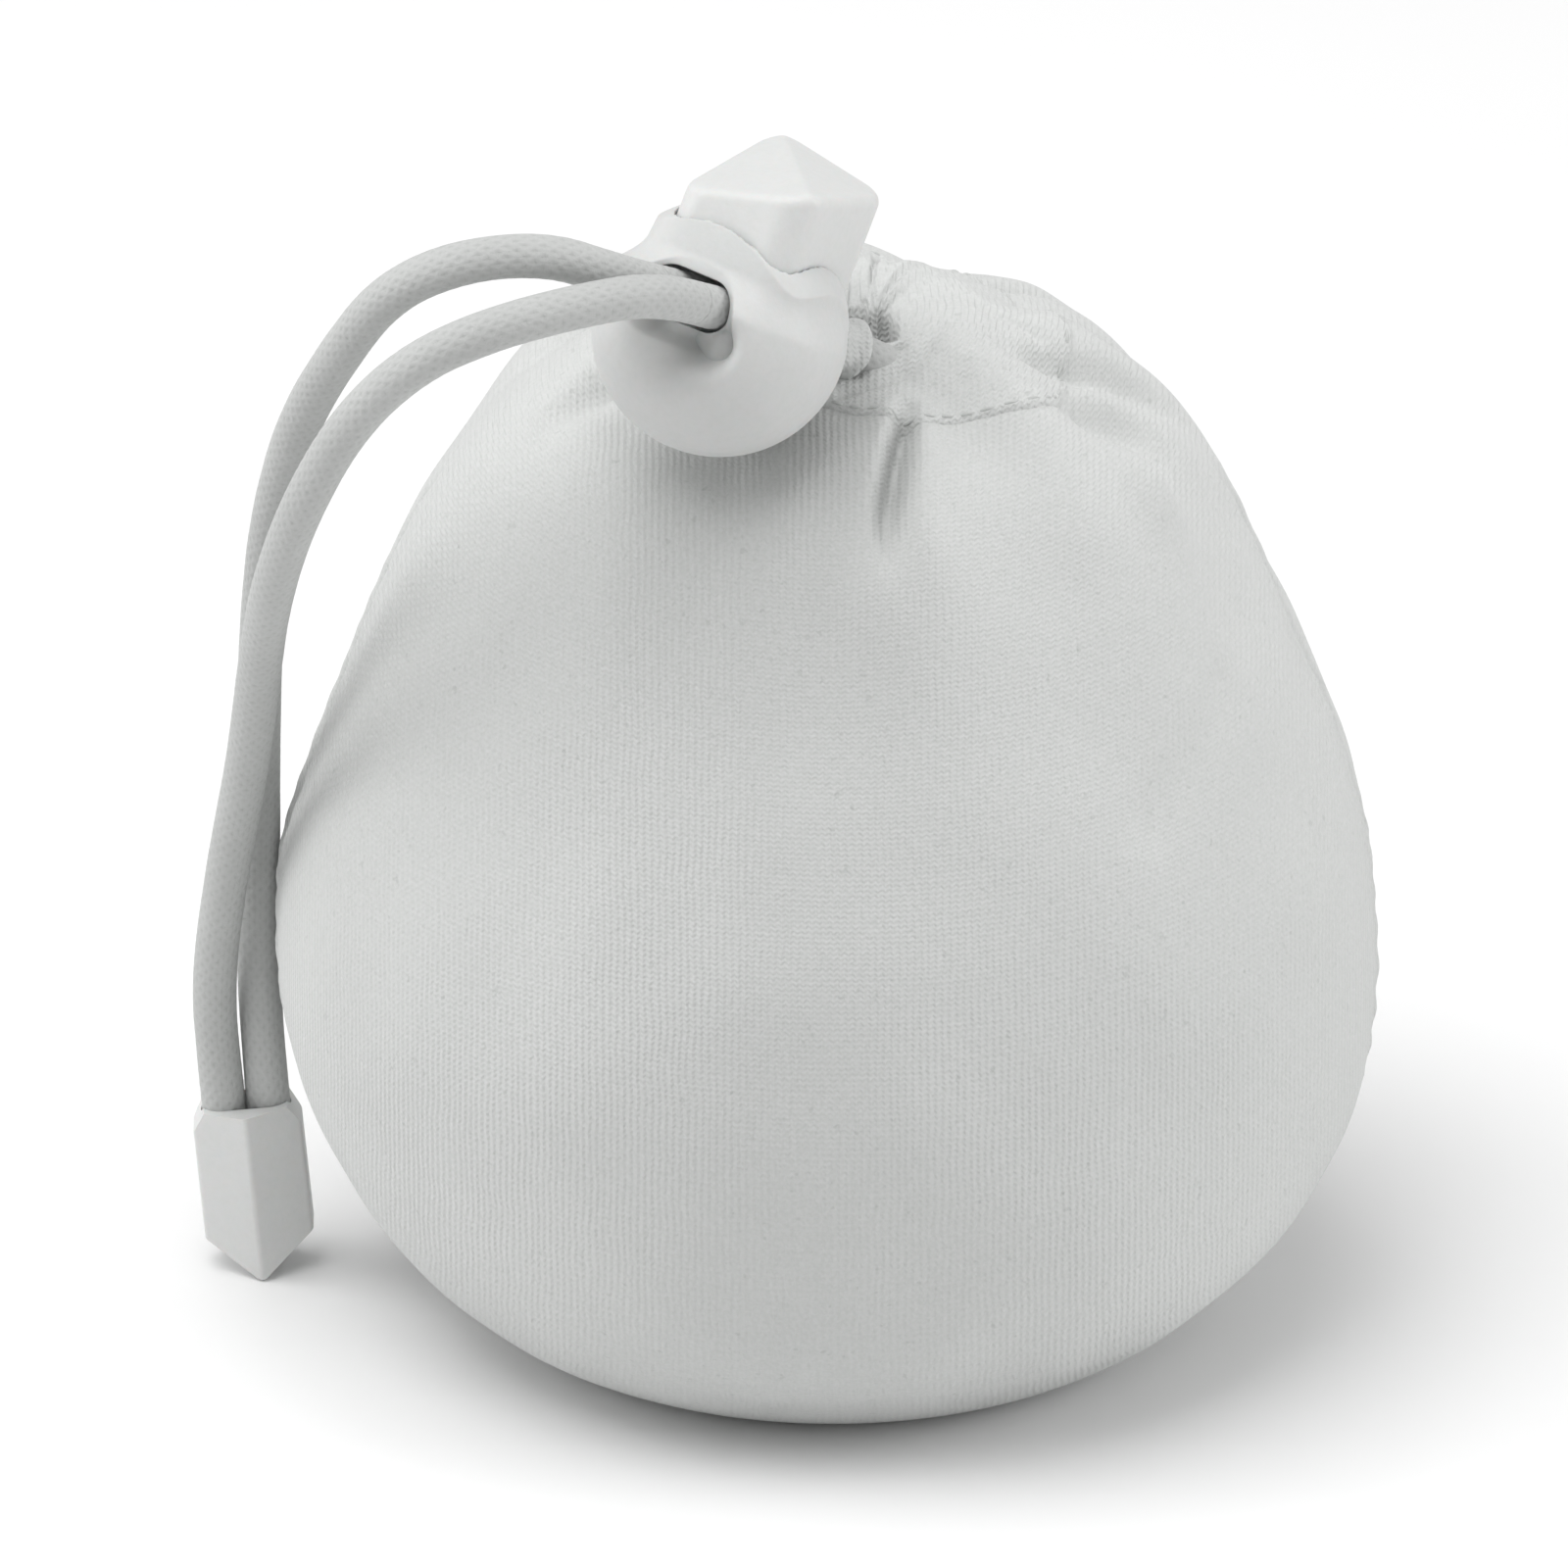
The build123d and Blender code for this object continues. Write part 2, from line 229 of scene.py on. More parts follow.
def plastic_material(name, level, gloss=0.48, grain=0.35):
    """Moulded nylon with a fine satin grain and soft mottling."""
    g = Graph(name, grey(level, 0.008))
    place = g.coordinates("Object")
    tone = g.ramp(g.noise(place, 120, 3), (0.3, grey(level * 0.97, 0.01)), (0.7, grey(level, 0.008)))
    fine = g.noise(place, 1800, 3, 0.6)
    tone = g.multiply(tone, g.ramp(fine, (0.3, grey(0.95)), (0.6, (1, 1, 1))), 0.5)
    normal = g.bump(fine, 0.00006, grain)
    rough = g.math("MULTIPLY_ADD", g.noise(place, 400, 2), 0.12, gloss - 0.06)
    values = {"Subsurface Weight": 0.08, "Subsurface Scale": 0.0012, "IOR": 1.5, "Specular IOR Level": 0.35}
    return g.finish(tone, normal, rough, **values)


def steel_material(name):
    """Drawn spring wire."""
    g = Graph(name, (0.5, 0.5, 0.5))
    place = g.coordinates("Object")
    tone = g.ramp(g.noise(place, 900, 3), (0.3, (0.42, 0.42, 0.43)), (0.7, (0.6, 0.6, 0.61)))
    return g.finish(tone, g.bump(g.noise(place, 4000, 2), 0.00003, 0.4), 0.3, Metallic=1.0)


def herb_material(name):
    """Crushed dried herbs inside the pouch."""
    g = Graph(name, (0.35, 0.33, 0.24))
    place = g.coordinates("Object")
    bits = g.add("ShaderNodeTexVoronoi")
    g.link(place, bits.inputs["Vector"])
    bits.inputs["Scale"].default_value = 700
    tone = g.ramp(g.noise(place, 500, 4), (0.3, (0.34, 0.33, 0.27)), (0.7, (0.55, 0.54, 0.48)))
    return g.finish(tone, g.bump(bits.outputs["Distance"], 0.0005, 0.8), 0.95)


pouch_cloth = knit_material("pouch_jersey", 0.62, 0.14, 0.06, 0.42)
hem_cloth = knit_material("hem_jersey", 0.64, 0.14, 0.10, 0.6)
seam_cloth = knit_material("seam_jersey", 0.58, 0.3, 0.3, 0.8)
thread_look = cord_material("sewing_thread", 0.60)
cord_look = cord_material("elastic_cord_cover", 0.52)
lock_look = plastic_material("lock_nylon", 0.60)
button_look = plastic_material("button_nylon", 0.66)
bell_look = plastic_material("bell_nylon", 0.66, 0.42)
spring_look = steel_material("spring_wire")
herb_look = herb_material("dried_herbs")


# ---------------------------------------------------------------- mesh helpers
def mesh_object(name, vertices, faces, material, uv=None, smooth=True):
    """Mesh from arrays in millimetres; uv holds one pair for each face corner."""
    mesh = bpy.data.meshes.new(name)
    mesh.from_pydata([tuple(v) for v in np.asarray(vertices) * MM], [], faces)
    if smooth:
        mesh.polygons.foreach_set("use_smooth", [True] * len(mesh.polygons))
    if uv is not None:
        layer = mesh.uv_layers.new(name="UVMap")
        layer.data.foreach_set("uv", np.asarray(uv, np.float32).ravel())
    mesh.materials.append(material)
    mesh.validate()
    mesh.update()
    obj = bpy.data.objects.new(name, mesh)
    scene.collection.objects.link(obj)
    return obj


def grid_faces(rows, columns):
    """Quads of a grid whose last column joins its first."""
    faces = []
    for row in range(rows - 1):
        for column in range(columns):
            after = (column + 1) % columns
            quad = [row * columns + column, row * columns + after]
            quad += [(row + 1) * columns + after, (row + 1) * columns + column]
            faces.append(quad)
    return faces


def passed_along(line):
    """Length of the line up to each of its points."""
    return np.concatenate([[0], np.cumsum(np.linalg.norm(np.diff(line, axis=0), axis=1))])


def rings(first, second, turn):
    """Unit circle of directions round each point of a line."""
    return first[:, None, :] * np.cos(turn)[None, :, None] + second[:, None, :] * np.sin(turn)[None, :, None]


def nurbs_route(name, points):
    """Open NURBS spline with the route's points as control points."""
    curve = bpy.data.curves.new(name, "CURVE")
    curve.dimensions = "3D"
    curve.resolution_u = 16
    spline = curve.splines.new("NURBS")
    spline.points.add(len(points) - 1)
    for point, place in zip(spline.points, points):
        point.co = (*(Vector(place) * MM), 1)
    spline.order_u = 3
    spline.use_endpoint_u = True
    return curve


def centreline(name, points, step):
    """Points read from the NURBS route, spaced evenly along it (mm)."""
    curve = nurbs_route(name, points)
    holder = bpy.data.objects.new(name, curve)
    scene.collection.objects.link(holder)
    bpy.context.view_layer.update()
    mesh = bpy.data.meshes.new_from_object(holder)
    line = np.array([v.co for v in mesh.vertices]) / MM
    bpy.data.objects.remove(holder)
    bpy.data.meshes.remove(mesh)
    bpy.data.curves.remove(curve)
    keep = np.concatenate([[True], np.linalg.norm(np.diff(line, axis=0), axis=1) > 1e-6])
    line = line[keep]
    reach = passed_along(line)
    at = np.linspace(0, reach[-1], int(reach[-1] / step) + 1)
    return np.stack([np.interp(at, reach, line[:, k]) for k in range(3)], 1), reach[-1]


def frames_along(line):
    """Tangent and two steady side directions at each point."""
    tangents = np.gradient(line, axis=0)
    tangents /= np.linalg.norm(tangents, axis=1)[:, None]
    side = np.cross(tangents[0], [0.0, 0.0, 1.0])
    sides = []
    for tangent in tangents:
        side = side - tangent * (side @ tangent)
        side = side / np.linalg.norm(side)
        sides.append(side)
    sides = np.array(sides)
    return tangents, sides, np.cross(tangents, sides)


CARRIERS = 12
BRAID_PITCH = 1.15
BRAID_RELIEF = 0.035
CORD_LUMPS = 0.02
CORD_STEP = 0.22
CORD_COLUMNS = 48


def braided_cord(name, points, material):
    """Tube along the route with the relief of its braided cover. Returns the piece and its path."""
    line, length = centreline(name, points, CORD_STEP)
    _, first, second = frames_along(line)
    columns = CORD_COLUMNS
    turn = np.linspace(0, tau, columns, endpoint=False)
    along = np.arange(len(line)) * length / (len(line) - 1)
    u = turn[None, :] / tau * CARRIERS
    v = along[:, None] / BRAID_PITCH
    weave = np.maximum(np.abs(np.sin(pi * (u + v))), np.abs(np.sin(pi * (u - v))))
    lumps = np.array([noise.noise(Vector(p) * 0.35) for p in line])
    radius = CORD_DIAMETER / 2 + BRAID_RELIEF * (weave - 1) + CORD_LUMPS * lumps[:, None]
    vertices = (line[:, None, :] + rings(first, second, turn) * radius[:, :, None]).reshape(-1, 3)
    rows = len(line)
    faces = grid_faces(rows, columns)
    corner_uv = []
    for row in range(rows - 1):
        low, high = along[row] / BRAID_PITCH, along[row + 1] / BRAID_PITCH
        for column in range(columns):
            here, after = column / columns * CARRIERS, (column + 1) / columns * CARRIERS
            corner_uv += [(here, low), (after, low), (after, high), (here, high)]
    caps = [list(range(columns))[::-1], list(range((rows - 1) * columns, rows * columns))]
    corner_uv += [(0.0, 0.0)] * (2 * columns)
    piece = mesh_object(name, vertices, faces + caps, material, corner_uv)
    return piece, line * MM


# ---------------------------------------------------------------- cords
tail_front_points = [
    in_lock(NECK_END, CORD_SPACING / 2, HOLE_RISE),
    in_lock(NECK_END + TAIL_STRAIGHT, CORD_SPACING / 2, HOLE_RISE),
    Vector((-17.3, -31.3, 90.5)),
    Vector((-23.8, -32.8, 89.3)),
    Vector((-29.2, -31.8, 86.2)),
    Vector((-33.7, -29.3, 80.5)),
    Vector((-37.2, -25.5, 72.1)),
    Vector((-39.2, -20.0, 63.5)),
    Vector((-40.1, -12.7, 54.7)),
    Vector((-41.0, -6.5, 44.4)),
    Vector((-42.6, -1.3, 33.6)),
    Vector((-43.8, 2.1, 23.1)),
    in_bell(-BELL_SPACING / 2, 15.2),
    in_bell(-BELL_SPACING / 2, 7.8),
]
tail_rear_points = [
    in_lock(NECK_END, -CORD_SPACING / 2, HOLE_RISE),
    in_lock(NECK_END + TAIL_STRAIGHT, -CORD_SPACING / 2, HOLE_RISE),
    Vector((-19.8, -28.2, 93.0)),
    Vector((-26.0, -28.6, 92.6)),
    Vector((-31.0, -26.1, 89.0)),
    Vector((-34.4, -21.6, 82.3)),
    Vector((-37.3, -16.0, 74.6)),
    Vector((-39.2, -10.1, 65.0)),
    Vector((-40.1, -4.9, 54.3)),
    Vector((-40.4, -0.6, 43.3)),
    Vector((-40.5, 3.3, 33.0)),
    Vector((-40.6, 4.7, 24.0)),
    in_bell(BELL_SPACING / 2, 15.2),
    in_bell(BELL_SPACING / 2, 7.8),
]
LOOP_EXIT = 239.0
LOOP_FIRST_TURN = 50.0
LOOP_CORNERS = 8
LOOP_CORNER_RADIUS = 7.2
LOOP_HEIGHT = 74.0
loop_points = [
    in_lock(NECK_END, CORD_SPACING / 2, HOLE_RISE),
    in_lock(NECK_REACH, CORD_SPACING / 2, HOLE_RISE),
]
for corner in range(LOOP_CORNERS):
    turned = LOOP_FIRST_TURN + corner * (360 - 2 * LOOP_FIRST_TURN) / (LOOP_CORNERS - 1)
    angle = radians(LOOP_EXIT + turned)
    loop_points.append(
        Vector((MOUTH.x + LOOP_CORNER_RADIUS * cos(angle), LOOP_CORNER_RADIUS * sin(angle), LOOP_HEIGHT))
    )
loop_points += [
    in_lock(NECK_REACH, -CORD_SPACING / 2, HOLE_RISE),
    in_lock(NECK_END, -CORD_SPACING / 2, HOLE_RISE),
]

tail_front, front_path = braided_cord("tail_front_cord", tail_front_points, cord_look)
tail_rear, rear_path = braided_cord("tail_rear_cord", tail_rear_points, cord_look)
neck_cord, _ = braided_cord("neck_loop_cord", loop_points, cord_look)
for piece, stood_for in (
    (tail_front, "drawcord_tail_front"),
    (tail_rear, "drawcord_tail_rear"),
    (neck_cord, "drawcord_loop"),
):
    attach(piece, "pouch")
    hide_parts(stood_for)

# ---------------------------------------------------------------- pouch outline
BASE_RADIUS = 22.0
BASE_SLOPE = radians(21.8)
POUCH_POINTS = [(BASE_RADIUS, 0.0), (35.0, 12.5), (36.2, 42.0), (25.4, 65.0), (8.0, 74.4)]


def outline(step):
    """Radius and height along the pouch, from its base's edge to the crown, as tangent arcs."""
    heading = BASE_SLOPE
    places = []
    for here, after in zip(POUCH_POINTS, POUCH_POINTS[1:]):
        chord = Vector(after) - Vector(here)
        half = atan2(chord.y, chord.x) - heading
        radius = chord.length / (2 * sin(half))
        count = max(2, int(abs(2 * half * radius) / step))
        turned = heading + 2 * half * np.linspace(0, 1, count, endpoint=False)
        outward = here[0] + radius * (np.sin(turned) - sin(heading))
        upward = here[1] - radius * (np.cos(turned) - cos(heading))
        places.append(np.stack([outward, upward], 1))
        heading += 2 * half
    places.append(np.array([POUCH_POINTS[-1]]))
    return np.concatenate(places)


OUTLINE_STEP = 0.2
WIDEST_HEIGHT = 45
fine_outline = outline(OUTLINE_STEP)
crown_part = fine_outline[fine_outline[:, 1] > WIDEST_HEIGHT]


def crown_height(radius):
    """Height of the upper pouch at a distance from its axis."""
    return np.interp(radius, crown_part[::-1, 0], crown_part[::-1, 1])


# ---------------------------------------------------------------- folds
def smooth_step(low, high, value):
    """0 up to low, 1 from high on, and a smooth rise between them."""
    share = np.clip((value - low) / (high - low), 0, 1)
    return share * share * (3 - 2 * share)


def line_distance(x, y, points):
    """Distance in plan from a polyline, and the share of its length at the nearest place."""
    points = np.array(points, float)
    runs = np.diff(points, axis=0)
    lengths = np.linalg.norm(runs, axis=1)
    starts = np.concatenate([[0], np.cumsum(lengths)])
    best = np.full(x.shape, 1e9)
    share = np.zeros(x.shape)
    for start, run, length, passed in zip(points, runs, lengths, starts):
        t = np.clip(((x - start[0]) * run[0] + (y - start[1]) * run[1]) / length**2, 0, 1)
        far = np.hypot(x - start[0] - t * run[0], y - start[1] - t * run[1])
        nearer = far < best
        best = np.where(nearer, far, best)
        share = np.where(nearer, (passed + t * length) / starts[-1], share)
    return best, share


# Creases on the crown, in plan from the mouth outwards: (points, half width, depth).
CREASES = [
    ([(5.2, -12.6), (4.7, -15.5), (4.0, -20.5), (3.7, -24.5)], 0.75, 3.0),
    ([(4.7, -15.0), (3.9, -22.0), (3.6, -26.0)], 2.4, 0.8),
    ([(12.6, -4.5), (14.2, -4.1), (18.5, -2.2), (24.2, -0.2), (27.0, 0.8)], 1.1, 1.9),
    ([(13.6, 4.8), (15.2, 5.6), (20.0, 7.8), (23.0, 9.0)], 0.9, 1.6),
    ([(16.6, -8.4), (20.2, -6.6), (24.0, -4.0)], 1.7, 2.0),
    ([(-1.5, -7.6), (-2.6, -11.0), (-4.5, -14.5)], 1.0, 1.2),
    ([(-5.6, -2.6), (-11.0, -4.0), (-17.5, -7.0), (-22.0, -8.5)], 1.1, 2.1),
    ([(-5.6, 1.6), (-11.5, 3.6), (-19.0, 4.6), (-24.0, 5.6)], 1.0, 1.9),
    ([(-3.6, 5.2), (-8.2, 9.6), (-11.5, 15.5), (-13.0, 20.0)], 1.0, 2.2),
    ([(-0.2, 7.6), (-1.6, 12.5), (-1.2, 19.5), (-0.6, 24.0)], 1.1, 2.4),
    ([(5.6, 10.4), (6.8, 12.8), (10.5, 17.5), (12.5, 21.0)], 1.0, 2.0),
    ([(10.6, 8.4), (12.2, 9.8), (17.8, 13.2)], 0.9, 1.6),
]
# Short marks on the hem near the mouth: (points, half width, depth).
HEM_MARKS = [
    ([(0.6, -11.2), (3.2, -10.0), (5.5, -8.4), (7.6, -5.2)], 0.42, 0.5),
    ([(-1.0, -6.6), (1.5, -6.1), (3.8, -5.2), (6.2, -4.3), (8.2, -2.9)], 0.40, 0.3),
    ([(4.6, -6.5), (4.8, -6.4)], 0.36, 0.7),
    ([(9.2, -9.4), (12.6, -8.0)], 0.6, 0.35),
    ([(10.6, 0.4), (14.2, -1.6)], 0.5, 0.5),
]
# Soft swellings between the creases, in plan: (x, y, half width, height).
SWELLINGS = [
    (11.6, -9.6, 4.6, 1.3),
    (2.6, -24.6, 2.6, 1.0),
    (6.6, -22.5, 2.2, 0.7),
    (21.4, -10.6, 2.4, 1.3),
    (0.4, -16.0, 3.0, 0.8),
    (9.5, -18.0, 4.0, 0.7),
    (15.5, 1.6, 2.6, 1.0),
    (-13.5, 0.0, 4.0, 1.0),
    (-10.0, 8.0, 3.6, 1.0),
    (-5.5, 14.5, 3.6, 1.1),
    (3.4, 16.0, 4.0, 0.5),
    (13.5, 14.5, 4.0, 0.2),
]
# Broad folds that run down from the gather: (azimuth in degrees, half width in degrees, height).
BROAD_FOLDS = [
    (-96, 9, -0.9), (-80, 8, 0.7), (-62, 10, -0.7), (-44, 9, 0.6), (-20, 9, -0.8), (2, 9, 0.7),
    (24, 9, -0.8), (48, 11, 0.2), (72, 9, -0.9), (98, 11, 0.7), (122, 9, -0.8), (146, 10, 0.8),
    (170, 9, -0.8), (196, 10, 0.6), (222, 10, -0.7), (244, 10, -0.5),
]
# Shallow dents of the wall: (azimuth and height of each end, half width, depth).
WALL_DENTS = [
    ((-31, 54.0), (-48, 48.0), 2.2, 0.45),
    ((-150, 50.0), (-128, 43.0), 4.5, 0.5),
    ((-118, 22.0), (-84, 17.0), 7.0, 0.6),
    ((-70, 30.0), (-40, 26.0), 6.0, 0.35),
    ((60, 44.0), (84, 36.0), 4.0, 0.6),
    ((130, 52.0), (150, 40.0), 4.0, 0.6),
    ((100, 20.0), (140, 24.0), 6.0, 0.6),
]
# Fullness of the left shoulder: azimuth and its half width in degrees, height and its half width, swelling.
LEFT_SHOULDER = (180, 42, 58, 11, 1.3)
# Where the lock lies on the cloth, in plan: its middle, how far it calms the folds, how much, and how deep
# it presses the cloth in.
LOCK_PLACE = (-9.0, -16.0)
LOCK_SPREAD = 9.5
LOCK_CALM = 0.8
LOCK_PRESS = 0.35
# Hollow of the cloth along the lower left edge of the lock, in plan.
LOCK_HOLLOW = [(-15.5, -6.5), (-13.8, -10.5), (-10.5, -14.8), (-7.5, -16.5)]
HOLLOW_DEPTH = 0.9
HOLLOW_WIDTH = 2.3
# Azimuths of the fine gathers round the mouth, in degrees.
FINE_PLEATS = [-112, -97, -72, -52, -36, -14, 6, 24, 41, 57, 70, 84, 101, 121, 139, 158, 176, 197, 214]
PLEAT_WIDTH = 5.0
# Heights over which the creases come in, and over which the lock's marks do.
CROWN_FOLDS = (44, 66)
CROWN_START = (45, 60)
# Shares of a crease's length over which it starts and ends, its depth at the very start, how much it
# widens, and the height and width of the shoulder beside it.
CREASE_START = (0.0, 0.15)
CREASE_END = (0.55, 1.0)
CREASE_FIRST = 0.35
CREASE_WIDENING = 0.5
SHOULDER_HEIGHT = 0.28
SHOULDER_WIDTH = 2.6
# Broad folds: the height they are strongest at, their run up and down, and their start from the mouth.
FOLD_HEIGHT = 68
FOLD_RUN = 13.0
FOLD_REACH = (8, 16)
DENT_LENGTH = 0.6


def turn_from(angle, degrees_at):
    """Signed difference of azimuths, in degrees."""
    return (np.degrees(angle) - degrees_at + 180) % 360 - 180


def crease_relief(x, y):
    """Depth of the sharp creases and height of the swellings between them, at plan positions."""
    relief = np.zeros(x.shape)
    for points, width, depth in CREASES:
        far, share = line_distance(x, y, points)
        start = CREASE_FIRST + (1 - CREASE_FIRST) * smooth_step(*CREASE_START, share)
        fade = (1 - smooth_step(*CREASE_END, share)) * start
        spread = width * (1 + CREASE_WIDENING * share)
        shoulder = SHOULDER_HEIGHT * np.exp(-((far / (SHOULDER_WIDTH * spread)) ** 2))
        relief -= depth * fade * (np.exp(-((far / spread) ** 2)) - shoulder)
    for cx, cy, width, height in SWELLINGS:
        relief += height * np.exp(-((x - cx) ** 2 + (y - cy) ** 2) / width**2)
    return relief


def fold_relief(x, y, z):
    """Height of the folds above the smooth pouch, at plan positions and heights."""
    angle = np.arctan2(y, x - MOUTH.x)
    reach = np.hypot(x - MOUTH.x, y)
    relief = crease_relief(x, y) * smooth_step(*CROWN_FOLDS, z)
    down = np.exp(-(((z - FOLD_HEIGHT) / FOLD_RUN) ** 2)) * smooth_step(*FOLD_REACH, reach)
    for azimuth, width, height in BROAD_FOLDS:
        relief += down * height * np.exp(-((turn_from(angle, azimuth) / width) ** 2))
    around = np.degrees(np.arctan2(y, x))
    for start, end, width, depth in WALL_DENTS:
        girth = np.hypot(x, y) * radians(1)
        middle = (start[0] + end[0]) / 2
        flat_x = turn_from(np.radians(around), middle) * girth
        ends = [((place[0] - middle) * DENT_LENGTH, place[1]) for place in (start, end)]
        far, _ = line_distance(flat_x, z, ends)
        relief -= depth * np.exp(-((far / width) ** 2))
    azimuth, spread, middle, height, swelling = LEFT_SHOULDER
    left = np.exp(-((turn_from(np.radians(around), azimuth) / spread) ** 2))
    left = left * np.exp(-(((z - middle) / height) ** 2))
    return relief + swelling * left


def near_lock(x, y):
    """1 where the lock lies on the cloth, falling off round it, at plan positions."""
    return np.exp(-(((x - LOCK_PLACE[0]) ** 2 + (y - LOCK_PLACE[1]) ** 2) / LOCK_SPREAD**2))


# Lumps of the fill and ripples of the cloth: waves for each millimetre, place in the noise, height.
FILL_LUMPS = (0.045, Vector((3.1, 0.4, 7.7)), 1.0)
CLOTH_RIPPLES = (0.12, Vector((9.0, 2.0, 1.0)), 0.3)


def body_sway(x, y, z):
    """Unevenness of the filled pouch: lumps of the fill and small ripples of the cloth."""
    sway = np.zeros(x.shape)
    for waves, shift, height in (FILL_LUMPS, CLOTH_RIPPLES):
        sway += height * np.array([noise.noise(Vector(p) * waves + shift) for p in zip(x, y, z)])
    return sway * smooth_step(0, 6, z)


# Side seam: millimetres of girth for each degree, heights over which it starts and ends, its groove (depth,
# half width), the ridge on each side (place, half width, height), and the stitches' pulls.
SEAM_GIRTH = 0.65
SEAM_RISES = (3, 8)
SEAM_ENDS = (60, 66)
GROOVE_DEPTH, GROOVE_WIDTH = 0.5, 0.6
RIDGE_PLACE, RIDGE_WIDTH, RIDGE_HEIGHT = 1.4, 0.9, 0.2
PULL_HEIGHT, PULL_WIDTH = 0.12, 3.4
RIPPLE_HEIGHT, RIPPLE_WIDTH = 0.10, 5.0


def seam_relief(x, y, z):
    """Side seams: a shallow groove with the short pulls of its stitches."""
    relief = np.zeros(x.shape)
    for side in (0.0, 180.0):
        off = turn_from(np.arctan2(y, x), side) * SEAM_GIRTH
        band = smooth_step(*SEAM_RISES, z) * (1 - smooth_step(*SEAM_ENDS, z))
        relief -= band * GROOVE_DEPTH * np.exp(-((off / GROOVE_WIDTH) ** 2))
        relief += band * RIDGE_HEIGHT * np.exp(-(((np.abs(off) - RIDGE_PLACE) / RIDGE_WIDTH) ** 2))
        low = 0.4 + 0.6 * np.exp(-(((z - 20) / 10) ** 2))
        pulls = np.sin(z * 2.3 + 1.3 * np.sin(z * 0.37) + 0.8 * off) * np.exp(-((off / PULL_WIDTH) ** 2))
        ripples = np.sin(off * 3.1 + 0.8 * np.sin(z * 0.5)) * np.exp(-((off / RIPPLE_WIDTH) ** 2))
        relief += band * low * (PULL_HEIGHT * pulls + RIPPLE_HEIGHT * ripples)
    return relief


# ---------------------------------------------------------------- pouch body
COLUMNS = 560
angles = np.linspace(0, tau, COLUMNS, endpoint=False)
STITCH_REACH = 12.4
STITCH_SPREAD = 3.6


def stitch_reach(angle):
    """Plan distance of the hem's stitch line from the mouth."""
    wide = np.exp(-((turn_from(angle, -38) / 34) ** 2))
    return STITCH_REACH + STITCH_SPREAD * wide + 0.35 * np.cos(5 * angle + 1) + 0.2 * np.cos(9 * angle)


JOIN_RADIUS = 26.0
WALL_STEP = 0.55
BASE_ROWS = 16
BASE_CENTRE = 0.4
lower = fine_outline[(fine_outline[:, 0] > JOIN_RADIUS) | (fine_outline[:, 1] < WIDEST_HEIGHT)]
spread_along = passed_along(lower)
wall_rows = int(spread_along[-1] / WALL_STEP)
wall_at = np.linspace(0, spread_along[-1], wall_rows)
wall = np.stack([np.interp(wall_at, spread_along, lower[:, k]) for k in range(2)], 1)
base = np.stack([np.linspace(BASE_CENTRE, BASE_RADIUS, BASE_ROWS, endpoint=False), np.zeros(BASE_ROWS)], 1)
profile = np.concatenate([base, wall])
grid_x = profile[:, 0][:, None] * np.cos(angles)[None, :]
grid_y = profile[:, 0][:, None] * np.sin(angles)[None, :]
grid_z = np.repeat(profile[:, 1][:, None], COLUMNS, 1)

CROWN_ROWS = 46
edge_x, edge_y = grid_x[-1], grid_y[-1]
stitch = stitch_reach(angles)
inner_x = MOUTH.x + stitch * np.cos(angles)
inner_y = stitch * np.sin(angles)
share = np.linspace(0, 1, CROWN_ROWS + 1)[1:, None]
crown_x = edge_x * (1 - share) + inner_x * share
crown_y = edge_y * (1 - share) + inner_y * share
crown_z = crown_height(np.hypot(crown_x, crown_y))
grid_x = np.concatenate([grid_x, crown_x])
grid_y = np.concatenate([grid_y, crown_y])
grid_z = np.concatenate([grid_z, crown_z])


def surface_normals(gx, gy, gz):
    """Outward normals of a closed grid."""
    places = np.stack([gx, gy, gz], 2)
    around = np.roll(places, -1, 1) - np.roll(places, 1, 1)
    up = np.gradient(places, axis=0)
    normals = np.cross(around, up)
    return normals / (np.linalg.norm(normals, axis=2)[:, :, None] + 1e-9)


normals = surface_normals(grid_x, grid_y, grid_z)
flat = (grid_x.ravel(), grid_y.ravel(), grid_z.ravel())
relief = fold_relief(*flat) + body_sway(*flat) + seam_relief(*flat)
relief *= smooth_step(0.0, 5.0, flat[2])
pressed = near_lock(flat[0], flat[1]) * smooth_step(*CROWN_START, flat[2])
relief = relief * (1 - LOCK_CALM * pressed) - LOCK_PRESS * pressed
under_lock, _ = line_distance(flat[0], flat[1], LOCK_HOLLOW)
relief -= HOLLOW_DEPTH * np.exp(-((under_lock / HOLLOW_WIDTH) ** 2)) * smooth_step(*CROWN_START, flat[2])
relief = relief.reshape(grid_x.shape)[:, :, None]
body_places = np.stack([grid_x, grid_y, grid_z], 2) + normals * relief
body_places[:, :, 2] = np.maximum(body_places[:, :, 2], 0)

# Width and height of a stitch, radius the cloth is unrolled on, and how fast courses run over the crown.
WALE = 0.52
COURSE = 0.45
CLOTH_RADIUS = 39.5
CROWN_COURSES = 0.8
POUCH_CLOTH = 0.8
HEM_CLOTH = 0.6


def knit_corners(places, faces):
    """UV of each face corner of a grid, in stitches."""
    flat_places = places.reshape(-1, 3)
    corners = np.array([i for face in faces for i in face])
    p = flat_places[corners]
    u = CLOTH_RADIUS * np.arcsin(np.clip(p[:, 0] / CLOTH_RADIUS, -1, 1)) / WALE
    v = (p[:, 2] - CROWN_COURSES * np.hypot(p[:, 0], p[:, 1])) / COURSE
    return np.stack([u, v], 1)


